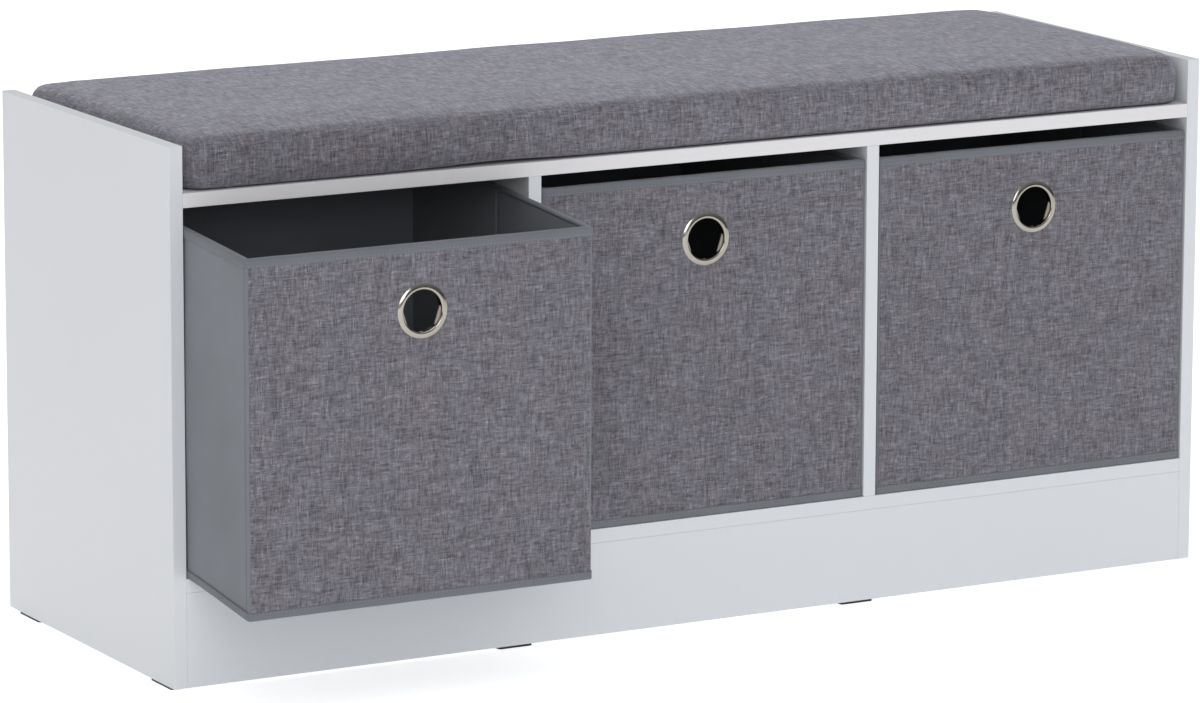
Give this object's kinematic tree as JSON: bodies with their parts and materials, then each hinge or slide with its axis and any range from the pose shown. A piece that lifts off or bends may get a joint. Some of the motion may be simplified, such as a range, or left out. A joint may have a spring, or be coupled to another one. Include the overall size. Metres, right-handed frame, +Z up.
{
  "type": "storage bench",
  "caption": "Low entryway bench in white board with a grey padded seat cushion over open bays that hold pull-out fabric drawer boxes with metal eyelets.",
  "frame": {"origin": "on the floor, under the middle of the whole model as it stands at rest with the left box drawn out", "axes": "+X to the right along the bench, +Y from the front to the rear, +Z up"},
  "size_m": [1, 0.4471, 0.455],
  "materials": {
    "white_melamine": "satin white melamine foil on chipboard",
    "white_hardboard": "white lacquered hardboard",
    "zinc_plated_steel": "zinc plated",
    "beech": "bare beech",
    "black_felt": "pressed felt",
    "grey_slub_cloth": "linen-look slub weave",
    "grey_slub_cloth_box": "linen-look slub weave on the drawer fronts",
    "foam": "open-cell foam",
    "zip_grey": "woven tape with a nylon coil",
    "zip_metal": "plated die casting",
    "nonwoven": "grey non-woven with a fine embossed point pattern",
    "greyboard": "raw greyboard",
    "polished_nickel": "polished, warm nickel"
  },
  "bodies": {
    "carcass": {"side_panel_left": "white_melamine", "side_panel_right": "white_melamine", "seat_board": "white_melamine", "bottom_shelf": "white_melamine", "divider_left": "white_melamine", "divider_right": "white_melamine", "plinth_front": "white_melamine", "plinth_rear": "white_melamine", "back_panel": "white_hardboard", "cam_bolts": "zinc_plated_steel", "cam_locks": "zinc_plated_steel", "dowels": "beech", "divider_screws": "zinc_plated_steel", "side_glide_pads": "black_felt", "plinth_glide_pads": "black_felt"},
    "cushion": {"cushion_cover": "grey_slub_cloth", "cushion_foam": "foam", "zip_tape": "zip_grey"},
    "zip_slider": {"zip_slider": "zip_metal"},
    "box_left": {"box_left_front_cover": "grey_slub_cloth_box", "box_left_front_stiffener": "greyboard", "box_left_side_cover_left": "nonwoven", "box_left_side_cover_right": "nonwoven", "box_left_side_stiffeners": "greyboard", "box_left_back_cover": "nonwoven", "box_left_back_stiffener": "greyboard", "box_left_bottom_cover": "nonwoven", "box_left_eyelet": "polished_nickel", "box_left_eyelet_washer": "polished_nickel"},
    "box_left_base": {"box_left_base_board": "nonwoven"},
    "box_middle": {"box_middle_front_cover": "grey_slub_cloth_box", "box_middle_front_stiffener": "greyboard", "box_middle_side_cover_left": "nonwoven", "box_middle_side_cover_right": "nonwoven", "box_middle_side_stiffeners": "greyboard", "box_middle_back_cover": "nonwoven", "box_middle_back_stiffener": "greyboard", "box_middle_bottom_cover": "nonwoven", "box_middle_eyelet": "polished_nickel", "box_middle_eyelet_washer": "polished_nickel"},
    "box_middle_base": {"box_middle_base_board": "nonwoven"},
    "box_right": {"box_right_front_cover": "grey_slub_cloth_box", "box_right_front_stiffener": "greyboard", "box_right_side_cover_left": "nonwoven", "box_right_side_cover_right": "nonwoven", "box_right_side_stiffeners": "greyboard", "box_right_back_cover": "nonwoven", "box_right_back_stiffener": "greyboard", "box_right_bottom_cover": "nonwoven", "box_right_eyelet": "polished_nickel", "box_right_eyelet_washer": "polished_nickel"},
    "box_right_base": {"box_right_base_board": "nonwoven"}
  },
  "joints": [
    {"name": "cushion_lift", "type": "slide", "parent": "carcass", "child": "cushion", "axis": [0, 0, 1], "range_m": [0, 0.25]},
    {"name": "zip_slide", "type": "slide", "parent": "cushion", "child": "zip_slider", "axis": [1, 0, 0], "range_m": [-0.849, 0]},
    {"name": "box_left_slide", "type": "slide", "parent": "carcass", "child": "box_left", "axis": [0, -1, 0], "range_m": [-0.1135, 0.1215]},
    {"name": "box_left_base_lift", "type": "slide", "parent": "box_left", "child": "box_left_base", "axis": [0, 0, 1], "range_m": [0, 0.28]},
    {"name": "box_middle_slide", "type": "slide", "parent": "carcass", "child": "box_middle", "axis": [0, -1, 0], "range_m": [0, 0.235]},
    {"name": "box_middle_base_lift", "type": "slide", "parent": "box_middle", "child": "box_middle_base", "axis": [0, 0, 1], "range_m": [0, 0.28]},
    {"name": "box_right_slide", "type": "slide", "parent": "carcass", "child": "box_right", "axis": [0, -1, 0], "range_m": [0, 0.235]},
    {"name": "box_right_base_lift", "type": "slide", "parent": "box_right", "child": "box_right_base", "axis": [0, 0, 1], "range_m": [0, 0.28]}
  ]
}
